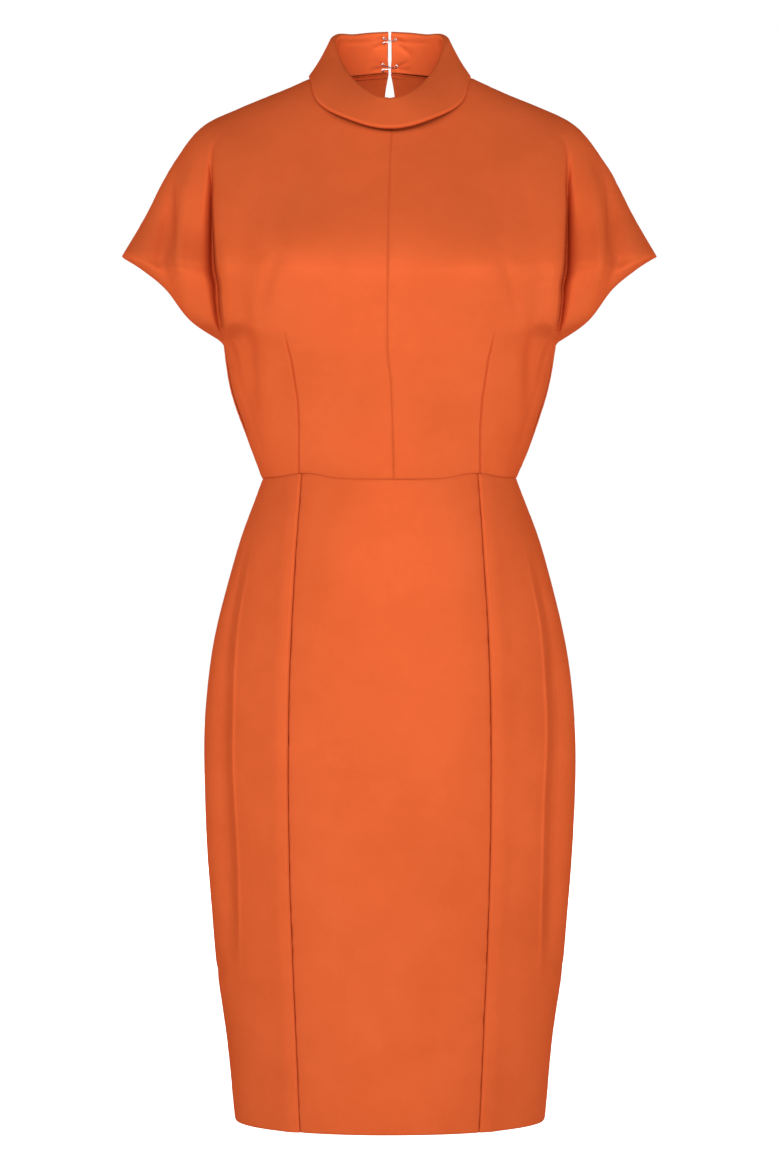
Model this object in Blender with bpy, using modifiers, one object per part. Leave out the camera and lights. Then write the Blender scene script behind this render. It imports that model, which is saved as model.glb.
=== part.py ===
"""Sheath dress with a turn-down collar and sleeves cut in one with the bodice, filled out as when it is worn.

Metres, +Z up. The front faces -Y and the wearer's left is +X. The origin lies midway between the two high
shoulder points, where the wearer's shoulders hold the dress up.
"""

import math

import bmesh
import bpy
import numpy as np
from mathutils import Matrix, Vector

# ---------------------------------------------------------------- driving sizes

COLLECTION = "sheath_dress"
WALL = 0.0015  # thickness of one layer of cloth
SEAM_GAP = 0.0003  # between two sewn pieces
FRONT, BACK = -1, 1  # side of the shoulder plane that a panel lies on
QUARTER = math.pi / 2  # turn from the centre line of a section to its side line

NECK_ROW, TIP_ROW, UNDERARM_ROW, WAIST_ROW = 0, 6, 10, 13

# One row for each section of the dress, from the neck seam down to the hem. A section crosses the centre front
# at (z_front, front) and the centre back at (z_back, back), and ends on the shoulder, sleeve hem or side seam at
# (reach, z_side). front and back are distances from the shoulder plane, y_side is how far behind that plane the
# section ends, square is the exponent of its oval, and rise says how late it climbs towards its end.
SECTION_COLUMNS = ("z_front", "front", "z_back", "back", "reach", "z_side", "y_side", "square", "rise")
SECTIONS = (
    (-0.0480, 0.064, 0.0170, 0.070, 0.0690, 0.0065, 0.000, 2.0, 1.4),  # neck seam
    (-0.0660, 0.071, -0.0060, 0.081, 0.1000, -0.0078, 0.002, 2.0, 1.8),
    (-0.0910, 0.083, -0.0400, 0.094, 0.1500, -0.0280, 0.004, 2.1, 2.3),
    (-0.1200, 0.096, -0.0780, 0.104, 0.1900, -0.0490, 0.005, 2.2, 2.5),  # shoulder point
    (-0.1500, 0.107, -0.1150, 0.109, 0.2195, -0.0880, 0.005, 2.2, 2.5),
    (-0.1780, 0.115, -0.1480, 0.111, 0.2420, -0.1320, 0.004, 2.2, 2.3),
    (-0.2030, 0.120, -0.1780, 0.111, 0.2670, -0.1770, 0.003, 2.2, 2.1),  # tip of the sleeve
    (-0.2240, 0.122, -0.2040, 0.110, 0.2440, -0.1937, 0.002, 2.2, 2.0),
    (-0.2430, 0.122, -0.2280, 0.108, 0.2200, -0.2137, 0.001, 2.2, 2.0),
    (-0.2580, 0.121, -0.2490, 0.105, 0.1960, -0.2440, 0.001, 2.3, 2.0),
    (-0.2740, 0.119, -0.2700, 0.101, 0.1665, -0.2640, 0.001, 2.4, 2.0),  # underarm
    (-0.3160, 0.111, -0.3140, 0.093, 0.1580, -0.3130, 0.000, 2.4, 2.0),
    (-0.3600, 0.102, -0.3590, 0.086, 0.1430, -0.3580, 0.000, 2.3, 2.0),
    (-0.4020, 0.096, -0.4000, 0.082, 0.1270, -0.3985, 0.000, 2.3, 2.0),  # waist seam
    (-0.4680, 0.104, -0.4680, 0.098, 0.1520, -0.4680, 0.002, 2.5, 2.0),
    (-0.5450, 0.110, -0.5450, 0.117, 0.1725, -0.5450, 0.004, 2.6, 2.0),
    (-0.6250, 0.112, -0.6250, 0.126, 0.1840, -0.6250, 0.005, 2.6, 2.0),
    (-0.7100, 0.112, -0.7100, 0.125, 0.1857, -0.7100, 0.005, 2.5, 2.0),
    (-0.7950, 0.109, -0.7950, 0.118, 0.1810, -0.7950, 0.006, 2.4, 2.0),
    (-0.8800, 0.106, -0.8800, 0.111, 0.1740, -0.8800, 0.007, 2.3, 2.0),
    (-0.9650, 0.104, -0.9650, 0.106, 0.1625, -0.9650, 0.008, 2.2, 2.0),
    (-1.0395, 0.103, -1.0395, 0.103, 0.1556, -1.0395, 0.009, 2.1, 2.0),  # hem
)

# The fold in which each sleeve drops from the body, one row for each section of the bodice: the half-width of its
# edge, how strongly it shows on the front and on the back, the half-width of the sleeve's open end, and how far
# the sleeve's trough lies from the fold's edge.
FOLD_COLUMNS = ("edge_x", "front_fold", "back_fold", "mouth", "pitch")
FOLDS = (
    (0.0560, 0.00, 0.00, 0.000, 0.0200),
    (0.0880, 0.00, 0.00, 0.000, 0.0200),
    (0.1320, 0.00, 0.00, 0.000, 0.0200),
    (0.1745, 0.02, 0.00, 0.003, 0.0200),
    (0.1765, 0.64, 0.45, 0.011, 0.0340),
    (0.1745, 1.00, 0.85, 0.018, 0.0420),
    (0.1720, 1.00, 0.90, 0.025, 0.0485),
    (0.1700, 1.00, 0.85, 0.031, 0.0500),
    (0.1675, 1.00, 0.75, 0.036, 0.0500),
    (0.1645, 0.80, 0.55, 0.033, 0.0500),
    (0.1600, 0.15, 0.10, 0.000, 0.0500),
    (0.1480, 0.00, 0.00, 0.000, 0.0500),
    (0.1320, 0.00, 0.00, 0.000, 0.0500),
    (0.1170, 0.00, 0.00, 0.000, 0.0500),
)

# Form of that fold: the distance from its edge, in pitches, and how much of the section's depth is left there
# where the fold is full.
FOLD_FORM = (
    (-0.12, 1.00),
    (0.00, 0.93),  # rolled edge of the body
    (0.045, 0.58),
    (0.11, 0.16),  # bottom of the valley
    (0.28, 0.34),
    (0.60, 0.62),  # first ridge of the sleeve
    (1.00, 0.48),  # trough
    (1.40, 0.60),  # second ridge
    (1.80, 0.60),
    (2.20, 0.75),
)
# Lines of a bodice panel, as shares of the way to the fold's edge (1) and on to the section's end (2).
BODICE_SHARES = (
    0, 0.035, 0.14, 0.26, 0.38, 0.50, 0.62, 0.74, 0.86, 0.96, 1, 1.012, 1.03, 1.075, 1.16, 1.28, 1.42, 1.58, 1.78,
    1.965, 2,
)
BODICE_ROWS = (
    0, 0.5, 1, 1.5, 2, 2.5, 3, 3.35, 3.7, 4, 4.5, 5, 5.5, 6, 6.5, 7, 7.5, 8, 8.5, 9, 9.5, 10, 10.5, 11, 12, 13,
)
SLEEVE_CLOSING = 8  # how bluntly the front and back of the sleeve meet above its tip
SLEEVE_BACK_LIFT = 0.010  # the back of each sleeve's hem lies this much higher than its front

# Fullness shaped by the darts, one row each: side, distance from the centre line, height, lift and spread.
FULLNESS_COLUMNS = ("face", "x", "z", "lift", "spread")
FULLNESSES = (
    (FRONT, 0.092, -0.212, 0.0130, 0.043),  # bust
    (BACK, 0.085, -0.150, 0.0050, 0.050),  # shoulder blades
    (BACK, 0.080, -0.650, 0.0080, 0.070),  # seat
)
WAIST_WAVE = 0.0050  # the waist seam rises this much at each front dart
WAIST_WAVE_X = 0.082
WAIST_WAVE_SPREAD = 0.022

SLIT_HALF_WIDTHS = (0.0010, 0.0050, 0.0068, 0.0050, SEAM_GAP / 2)  # of the slit below the neck, row by row

# Half-width of the two seams between the front and side panels of the skirt, from the waist to the hem.
SKIRT_SEAM_X = (0.0874, 0.0920, 0.0962, 0.0989, 0.0994, 0.0979, 0.0953, 0.0917, 0.0881)
SKIRT_ROWS = (13, 13.33, 13.67, 14, 14.5, 15, 15.5, 16, 17, 18, 19, 20, 21)
SKIRT_CENTRE_SHARES = (0.0, 0.2, 0.4, 0.6, 0.8, 0.97, 1.0)
SKIRT_SIDE_SHARES = (1.0, 1.02, 1.15, 1.3, 1.45, 1.6, 1.76, 1.965, 2.0)
SKIRT_BACK_SHARES = (0.0, 0.03, 0.25, 0.5, 0.75, 1.0, 1.15, 1.3, 1.45, 1.6, 1.76, 1.965, 2.0)

# The collar, one row for each station from the centre front (turn 0) past the shoulder (1) to the centre back
# (2): where its fold lies, and on which row of the bodice its free edge rests.
COLLAR_COLUMNS = ("fold_x", "fold_y", "fold_z", "edge_row", "bulge")
COLLAR_STATIONS = (
    (0.0000, -0.0620, -0.0305, 0.58, 0.0035),
    (0.0150, -0.0580, -0.0265, 0.74, 0.0040),
    (0.0345, -0.0385, -0.0110, 0.84, 0.0050),
    (0.0500, -0.0120, 0.0125, 0.44, 0.0030),
    (0.0570, 0.0120, 0.0360, 0.33, 0.0000),
    (0.0525, 0.0330, 0.0470, 0.27, 0.0000),
    (0.0375, 0.0510, 0.0497, 0.20, 0.0015),
    (0.0200, 0.0615, 0.0530, 0.17, 0.0025),
    (0.0000, 0.0655, 0.0545, 0.15, 0.0030),
)
COLLAR_SLIT = 0.0040  # between the two ends of the collar at the centre back
COLLAR_LINES_EACH_SIDE = 24
COLLAR_ROLL = 0.0030  # outer radius of the collar's fold
COLLAR_REST = 0.0010  # between the collar's free edge and the bodice
STAND_STEPS, ROLL_STEPS, FALL_STEPS = 4, 4, 5

# The two hooks and eyes at the centre back: height of each, and its size against a full-size one.
HOOKS = (("top", 0.0485, 0.85), ("neck", 0.0218, 1.0))
WIRE = 0.0004  # radius of the wire of a hook or an eye
WIRE_GAP = 0.0004  # between the wire and what it lies on
HOOK_LOOP = 0.0013  # radius of a loop that is sewn to the collar
HOOK_REACH = 0.0068  # from the slit's middle to the loops
EYE_HALF_HEIGHT = 0.0015
EYE_BEND = 0.0013
HOOK_TURN = 0.0012  # radius at which the hook turns round the eye's bar

# The zip below the slit, in the centre back seam: its slider, and its pull on a hinge.
ZIP_Z = -0.1215  # height of the hinge
SLIDER_SIZE = (0.0052, 0.0100)
SLIDER_THICKNESS = 0.0012
BRIDGE_RADIUS = 0.0032
BRIDGE_WIRE = 0.0006
PULL_AXIS_OUT = 0.0011  # of the hinge, from the slider's outer face
PULL_THICKNESS = 0.0012
PULL_CLEARANCE = 0.0005  # between the hanging pull and the cloth behind it
PULL_BAR = 0.00045  # half the height of the bar under the bridge
PULL_HOLE = (0.0016, 0.0047)  # half-width of the pull's hole, and its lower end
PULL_WIDTHS = (0.0026, 0.0024, 0.0033)  # half-widths at the hinge, below the hole and at the round end
PULL_LENGTHS = (0.0070, 0.0200)  # how far below the hinge the last two lie

CLOTH_COLOUR = (0.84, 0.15, 0.045, 1.0)
HOOK_COLOUR = (0.80, 0.80, 0.82, 1.0)

# ---------------------------------------------------------------- form of the dress


def smooth(values, position, corners=()):
    """Curve through values at whole positions, broken into a corner at each position listed in corners."""
    first = min(int(position), len(values) - 2)
    share = position - first
    start, end = values[first], values[first + 1]
    before, after = 2 * start - end, 2 * end - start
    if first > 0 and first not in corners:
        before = values[first - 1]
    if first + 2 < len(values) and first + 1 not in corners:
        after = values[first + 2]
    slope, bend = end - before, 2 * before - 5 * start + 4 * end - after
    return start + 0.5 * share * (slope + share * (bend + share * (3 * (start - end) + after - before)))


def table_row(table, columns, position, corners=()):
    """The values of a table at a position between its rows, by column name."""
    values = smooth(np.array(table), position, corners)
    return dict(zip(columns, values))


def section(row):
    """The section of the dress at a row, with sharp corners where its silhouette has them."""
    found = table_row(SECTIONS, SECTION_COLUMNS, row, (WAIST_ROW,))
    ends = table_row(SECTIONS, SECTION_COLUMNS, row, (TIP_ROW, UNDERARM_ROW, WAIST_ROW))
    for name in ("reach", "z_side"):
        found[name] = ends[name]
    return found


def fold(row):
    """The sleeve's fold at a row of the bodice."""
    return table_row(FOLDS, FOLD_COLUMNS, row)


def turn_at(cut, x):
    """The turn at which a section reaches the half-width x."""
    return math.asin(min(1.0, x / cut["reach"]) ** (cut["square"] / 2))


def shared_turn(cut, line_x, share):
    """The turn at a share of the way from the centre (0) to a line at line_x (1) or on to the end (2)."""
    line = turn_at(cut, line_x)
    if share <= 1:
        return line * share
    return line + (QUARTER - line) * (share - 1)


def fold_depth(past_edge, strength):
    """How much of a section's depth is left so many pitches past the fold's edge."""
    places, depths = zip(*FOLD_FORM)
    return 1 + strength * (np.interp(past_edge, places, depths) - 1)


def fullness(face, x, z):
    """Lift of the cloth over the bust, the shoulder blades and the seat."""
    lift = 0.0
    for values in FULLNESSES:
        bump = dict(zip(FULLNESS_COLUMNS, values))
        if bump["face"] != face:
            continue
        for centre in (bump["x"], -bump["x"]):
            away = ((x - centre) ** 2 + (z - bump["z"]) ** 2) / (2 * bump["spread"] ** 2)
            lift += bump["lift"] * math.exp(-away)
    return lift


def oval_point(face, row, turn, depth_left=1.0, mouth=0.0, lift_end=0.0):
    """A point on the wearer's left half of a section."""
    cut = section(row)
    closed = min(1.0, max(0.0, TIP_ROW + 1 - row)) ** 2
    depth, z_centre = (cut["front"], cut["z_front"]) if face == FRONT else (cut["back"], cut["z_back"])
    power = 2 / cut["square"]
    across, along = math.sin(turn) ** power, max(0.0, math.cos(turn)) ** power
    x = cut["reach"] * across
    y_end = cut["y_side"] + face * mouth * (1 - closed * across**SLEEVE_CLOSING)
    z_end = cut["z_side"] + lift_end * (1 - closed)
    z = z_centre + (z_end - z_centre) * math.sin(turn) ** cut["rise"]
    y = y_end + (face * depth - y_end) * along * depth_left
    y += face * fullness(face, x, z) * min(1.0, 2 * along)
    if face == FRONT:
        wave = WAIST_WAVE * math.exp(-(((x - WAIST_WAVE_X) / WAIST_WAVE_SPREAD) ** 2))
        z += wave * max(0.0, 1 - abs(row - WAIST_ROW))
    return Vector((x, y, z))


def bodice_point(face, share, row):
    """A point of the bodice, with the fold of the sleeve and, at the back, the slit below the neck."""
    cut, crease = section(row), fold(row)
    strength = max(0.0, crease["front_fold"] if face == FRONT else crease["back_fold"])
    lift_end = SLEEVE_BACK_LIFT * crease["mouth"] / max(line[3] for line in FOLDS) if face == BACK else 0.0
    turn = shared_turn(cut, crease["edge_x"], share)
    past_edge = (cut["reach"] * math.sin(turn) ** (2 / cut["square"]) - crease["edge_x"]) / crease["pitch"]
    point = oval_point(face, row, turn, fold_depth(past_edge, strength), max(0.0, crease["mouth"]), lift_end)
    if face == BACK and share < 1:
        half_width = SEAM_GAP / 2
        if row < len(SLIT_HALF_WIDTHS) - 1:
            half_width = smooth(np.array(SLIT_HALF_WIDTHS), row)
        point.x += half_width * (1 - share) ** 4
    elif face == FRONT and share == 0:
        point.x += SEAM_GAP / 2
    return point


def skirt_point(face, share, row):
    """A point of the skirt."""
    cut = section(row)
    seam_x = smooth(np.array(SKIRT_SEAM_X), row - WAIST_ROW)
    return oval_point(face, row, shared_turn(cut, seam_x, share))


# ---------------------------------------------------------------- building


def material(name, colour, roughness, metallic=0.0):
    made = bpy.data.materials.new(name)
    made.use_nodes = True
    shader = made.node_tree.nodes["Principled BSDF"]
    shader.inputs["Base Color"].default_value = colour
    shader.inputs["Roughness"].default_value = roughness
    shader.inputs["Metallic"].default_value = metallic
    made.diffuse_color = colour
    return made


def cloth_piece(name, lines, collection, flip=False):
    """A panel of cloth: a surface lofted through lines of points, thickened away from its outer face."""
    across = len(lines[0])
    points = [point for line in lines for point in line]
    faces = []
    for row in range(len(lines) - 1):
        for column in range(across - 1):
            corner = row * across + column
            face = (corner, corner + across, corner + across + 1, corner + 1)
            faces.append(face[::-1] if flip else face)
    mesh = bpy.data.meshes.new(name)
    mesh.from_pydata([tuple(point) for point in points], [], faces)
    mesh.shade_smooth()
    piece = bpy.data.objects.new(name, mesh)
    mesh.materials.append(material(name, CLOTH_COLOUR, 0.45))
    wall = piece.modifiers.new("wall", "SOLIDIFY")
    wall.thickness = WALL
    wall.offset = -1.0
    collection.objects.link(piece)
    return piece


def mirrored(lines):
    return [[Vector((-point.x, point.y, point.z)) for point in line] for line in lines]


def set_back(lines, x_first=0.0, x_last=0.0, y_last=0.0, z_top=0.0, z_bottom=0.0):
    """Leaves half a seam's gap at the edges of a panel."""
    for line in lines:
        line[0].x += x_first
        line[-1].x += x_last
        line[-1].y += y_last
    for point in lines[0]:
        point.z += z_top
    for point in lines[-1]:
        point.z += z_bottom
    return lines


def add_bodice(collection):
    half_gap = SEAM_GAP / 2
    for face, name in ((FRONT, "bodice_front"), (BACK, "bodice_back")):
        lines = [[bodice_point(face, share, row) for share in BODICE_SHARES] for row in BODICE_ROWS]
        set_back(lines, y_last=face * half_gap, z_bottom=half_gap)
        cloth_piece(name + "_left", lines, collection, flip=face == BACK)
        cloth_piece(name + "_right", mirrored(lines), collection, flip=face == FRONT)


def add_skirt(collection):
    half_gap = SEAM_GAP / 2
    half = [[skirt_point(FRONT, share, row) for share in SKIRT_CENTRE_SHARES] for row in SKIRT_ROWS]
    set_back(half, x_last=-half_gap, z_top=-half_gap)
    other = [line[:0:-1] for line in mirrored(half)]
    whole = [right + left for right, left in zip(other, half)]
    cloth_piece("skirt_front_centre", whole, collection)
    panels = ((FRONT, "skirt_front_side", SKIRT_SIDE_SHARES), (BACK, "skirt_back", SKIRT_BACK_SHARES))
    for face, name, shares in panels:
        lines = [[skirt_point(face, share, row) for share in shares] for row in SKIRT_ROWS]
        set_back(lines, x_first=half_gap, y_last=face * half_gap, z_top=-half_gap)
        cloth_piece(name + "_left", lines, collection, flip=face == BACK)
        cloth_piece(name + "_right", mirrored(lines), collection, flip=face == FRONT)


def neck_frame(turn, row):
    """A point of the bodice near the neck and the direction out of its surface there."""
    face, quarter = (FRONT, turn) if turn <= 1 else (BACK, 2 - turn)
    step = 0.01
    here = oval_point(face, row, quarter * QUARTER)
    beside = oval_point(face, row, max(0.0, quarter - step) * QUARTER)
    if quarter < step:
        beside = here - Vector((step, 0, 0))
    below = oval_point(face, row + step, quarter * QUARTER)
    out = (here - beside).cross(below - here) * face
    return here, out.normalized()


def collar_line(turn):
    """The section of the collar at a turn: up the stand, over the fold and down the fall."""
    station = table_row(COLLAR_STATIONS, COLLAR_COLUMNS, turn * 4)
    top = Vector((station["fold_x"], station["fold_y"], station["fold_z"]))
    seam, _ = neck_frame(turn, NECK_ROW)
    outwards = Vector((seam.x, seam.y, 0)).normalized()
    seam += Vector((0, 0, SEAM_GAP)) - outwards * WALL
    rest, out = neck_frame(turn, station["edge_row"])
    edge = rest + out * (WALL + COLLAR_REST)
    inner, outer = top - outwards * COLLAR_ROLL, top + outwards * COLLAR_ROLL
    points = [seam.lerp(inner, step / STAND_STEPS) for step in range(STAND_STEPS)]
    for step in range(ROLL_STEPS + 1):
        angle = math.pi * step / ROLL_STEPS
        points.append(top - outwards * COLLAR_ROLL * math.cos(angle) + Vector((0, 0, COLLAR_ROLL * math.sin(angle))))
    for step in range(1, FALL_STEPS + 1):
        share = step / FALL_STEPS
        bulge = out * station["bulge"] * math.sin(math.pi * share)
        points.append(outer.lerp(edge, share) + bulge)
    return points


def add_collar(collection):
    left = [collar_line(turn) for turn in np.linspace(0, 2, COLLAR_LINES_EACH_SIDE + 1)]
    for point in left[-1]:
        point.x = COLLAR_SLIT / 2
    right = mirrored(left)[:0:-1]
    cloth_piece("collar", right + left, collection)


def wire(name, points, radius, collection, colour_material):
    """A bent wire through the points."""
    curve = bpy.data.curves.new(name, "CURVE")
    curve.dimensions = "3D"
    curve.bevel_depth = radius
    curve.bevel_resolution = 1
    curve.use_fill_caps = True
    spline = curve.splines.new("POLY")
    spline.points.add(len(points) - 1)
    for target, point in zip(spline.points, points):
        target.co = (*point, 1.0)
    curve.materials.append(colour_material)
    piece = bpy.data.objects.new(name, curve)
    collection.objects.link(piece)
    return piece


def arc(centre, radius, start, end, steps):
    """Points of an arc, in degrees, as (across, up) pairs."""
    angles = np.radians(np.linspace(start, end, steps))
    return [(centre[0] + radius * math.cos(angle), centre[1] + radius * math.sin(angle)) for angle in angles]


def seat_on(piece, x, z):
    """Where a line from inside the neck towards the back meets the inner face of the collar."""
    graph = bpy.context.evaluated_depsgraph_get()
    hit, place, _, _ = piece.evaluated_get(graph).ray_cast(Vector((x, 0, z)), Vector((0, 1, 0)))
    return place.y


def eye_outline():
    """The upper half of an eye as (across, up): the loop that is sewn on, then the way to the bar."""
    loop = arc((-HOOK_REACH, EYE_HALF_HEIGHT + HOOK_LOOP), HOOK_LOOP, -10, 270, 8)
    return loop + arc((-EYE_BEND, EYE_HALF_HEIGHT - EYE_BEND), EYE_BEND, 90, 20, 4)


def add_hooks(collection):
    metal = material("hook_wire", HOOK_COLOUR, 0.25, 1.0)
    collar = bpy.data.objects["collar"]
    beside_slit = COLLAR_SLIT / 2 + 0.0006
    for place, z, scale in HOOKS:

        def seated(across, up, away=0.0):
            x, height = across * scale, z + up * scale
            y = seat_on(collar, math.copysign(max(abs(x), beside_slit), x), height)
            return Vector((x, y - WIRE - WIRE_GAP - away, height))

        half = eye_outline()
        eye = [seated(across, up) for across, up in half]
        eye += [seated(across, -up) for across, up in reversed(half)]
        wire("eye_" + place, eye, WIRE, collection, metal)

        loop = arc((HOOK_REACH, HOOK_LOOP), HOOK_LOOP, 190, -90, 8)
        hook = [seated(across, up) for across, up in loop]
        hook += [seated(0.0040, 0.0), seated(0.0024, 0.0, HOOK_TURN)]
        bar = seated(0.0, 0.0)
        for angle in (0, 45, 90, 135, 180):
            swing = Vector((-math.sin(math.radians(angle)), -math.cos(math.radians(angle)), 0.0))
            hook.append(bar + swing * HOOK_TURN)
        hook.append(hook[-1] + Vector((0.0009, 0.0, 0.0)))
        wire("hook_" + place, hook, WIRE, collection, metal)


def back_seam_y(z):
    """How far back the cloth lies beside the centre back seam at a height of the bodice."""
    rows = np.linspace(3, WAIST_ROW, 41)
    points = [bodice_point(BACK, 0.0, row) for row in rows]
    return float(np.interp(-z, [-point.z for point in points], [point.y for point in points]))


def solid_of(piece):
    """The evaluated mesh of a curve object in its place, as a new mesh object with its caps welded."""
    graph = bpy.context.evaluated_depsgraph_get()
    mesh = bpy.data.meshes.new_from_object(piece.evaluated_get(graph))
    welded = bmesh.new()
    welded.from_mesh(mesh)
    bmesh.ops.remove_doubles(welded, verts=welded.verts, dist=0.000001)
    bmesh.ops.recalc_face_normals(welded, faces=welded.faces)
    welded.to_mesh(mesh)
    welded.free()
    solid = bpy.data.objects.new(piece.name + "_solid", mesh)
    solid.matrix_world = piece.matrix_world
    for group in piece.users_collection:
        group.objects.link(solid)
    bpy.data.objects.remove(piece, do_unlink=True)
    return solid


def add_slider(collection, cutters, metal, seat, face):
    """The slider's body, with a bridge that the pull hangs from."""
    depth = face - seat
    bpy.ops.mesh.primitive_cube_add(size=1)
    slider = bpy.context.object
    slider.name = slider.data.name = "zip_slider"
    slider.data.transform(Matrix.Diagonal((SLIDER_SIZE[0], depth, SLIDER_SIZE[1], 1.0)))
    slider.location = (0.0, seat + depth / 2, ZIP_Z)
    slider.data.materials.append(metal)
    for group in list(slider.users_collection):
        group.objects.unlink(slider)
    collection.objects.link(slider)
    rounding = slider.modifiers.new("rounding", "BEVEL")
    rounding.width = 0.0005
    rounding.segments = 2
    path = [(0.0, face + up, ZIP_Z + across) for across, up in arc((0.0, 0.0), BRIDGE_RADIUS, -12, 192, 11)]
    bridge = solid_of(wire("bridge", path, BRIDGE_WIRE, cutters, metal))
    bridge.hide_render = True
    bridge.display_type = "WIRE"
    join = slider.modifiers.new("bridge", "BOOLEAN")
    join.operation = "UNION"
    join.object = bridge


def add_pull(collection, metal, axis_y):
    """The pull: a flat tab with a hole for the bridge, hanging from its hinge."""
    curve = bpy.data.curves.new("zip_pull", "CURVE")
    curve.dimensions = "2D"
    curve.fill_mode = "BOTH"
    curve.extrude = PULL_THICKNESS / 2
    outline = arc((0.0, -PULL_LENGTHS[1]), PULL_WIDTHS[2], -180, 0, 11)
    outline += [(PULL_WIDTHS[1], -PULL_LENGTHS[0]), (PULL_WIDTHS[0], PULL_BAR)]
    outline += [(-PULL_WIDTHS[0], PULL_BAR), (-PULL_WIDTHS[1], -PULL_LENGTHS[0])]
    half_width, end = PULL_HOLE
    hole = [(half_width, -PULL_BAR), (half_width, -end), (-half_width, -end), (-half_width, -PULL_BAR)]
    for points in (outline, hole):
        spline = curve.splines.new("POLY")
        spline.use_cyclic_u = True
        spline.points.add(len(points) - 1)
        for target, (across, up) in zip(spline.points, points):
            target.co = (across, up, 0.0, 1.0)
    curve.materials.append(metal)
    pull = bpy.data.objects.new("zip_pull", curve)
    pull.rotation_euler = (QUARTER, 0.0, 0.0)
    pull.location = (0.0, axis_y, ZIP_Z)
    collection.objects.link(pull)


def add_zip(collection, cutters):
    metal = material("zip_metal", CLOTH_COLOUR, 0.35, 0.0)
    half_slider, pull_end = SLIDER_SIZE[1] / 2, PULL_LENGTHS[1] + PULL_WIDTHS[2]
    seat = max(back_seam_y(ZIP_Z + up) for up in (-half_slider, 0.0, half_slider)) + SEAM_GAP
    behind_pull = max(back_seam_y(ZIP_Z - down) for down in np.linspace(0.0, pull_end, 8)) + PULL_CLEARANCE
    face = max(seat + SLIDER_THICKNESS, behind_pull + PULL_THICKNESS / 2 - PULL_AXIS_OUT)
    add_slider(collection, cutters, metal, seat, face)
    add_pull(collection, metal, face + PULL_AXIS_OUT)


def clear_scene():
    for thing in list(bpy.data.objects):
        bpy.data.objects.remove(thing, do_unlink=True)


def main():
    clear_scene()
    collection = bpy.data.collections.new(COLLECTION)
    cutters = bpy.data.collections.new("cutters")
    for group in (collection, cutters):
        bpy.context.scene.collection.children.link(group)
    add_bodice(collection)
    add_skirt(collection)
    add_collar(collection)
    bpy.context.view_layer.update()
    add_hooks(collection)
    add_zip(collection, cutters)


main()
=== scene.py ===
"""Looks of the sheath dress.

Thin shells of cloth on the form of the solids, with their seams, darts, folds and creases, and
the picture's camera, floor and light.
"""

import math
from functools import partial

import bpy
import numpy as np
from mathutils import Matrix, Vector


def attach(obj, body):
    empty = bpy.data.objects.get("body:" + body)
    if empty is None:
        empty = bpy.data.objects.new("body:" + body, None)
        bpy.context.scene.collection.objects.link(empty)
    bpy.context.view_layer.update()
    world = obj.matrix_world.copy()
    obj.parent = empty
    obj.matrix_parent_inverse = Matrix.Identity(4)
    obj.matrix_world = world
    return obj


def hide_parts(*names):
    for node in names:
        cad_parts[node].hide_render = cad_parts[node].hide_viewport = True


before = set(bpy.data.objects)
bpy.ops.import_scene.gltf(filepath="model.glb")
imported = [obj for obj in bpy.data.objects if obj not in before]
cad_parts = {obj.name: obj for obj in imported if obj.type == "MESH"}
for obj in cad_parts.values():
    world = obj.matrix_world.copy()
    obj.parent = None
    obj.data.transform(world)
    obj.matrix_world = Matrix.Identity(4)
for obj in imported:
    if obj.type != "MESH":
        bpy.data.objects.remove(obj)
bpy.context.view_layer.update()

BODY = "dress"
FRONT, BACK = -1, 1  # side of the shoulder plane that a panel lies on
LEFT, RIGHT = 1, -1  # the wearer's
SIDES = ((LEFT, "left"), (RIGHT, "right"))
QUARTER = math.pi / 2
CLOTH = 0.0011  # thickness that is drawn

# ---------------------------------------- tables of the form

# The same columns as for the solids. The front is a little fuller here at the bust and under
# the arm, after the photo. Each row's number is its place from the neck seam down.

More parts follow.
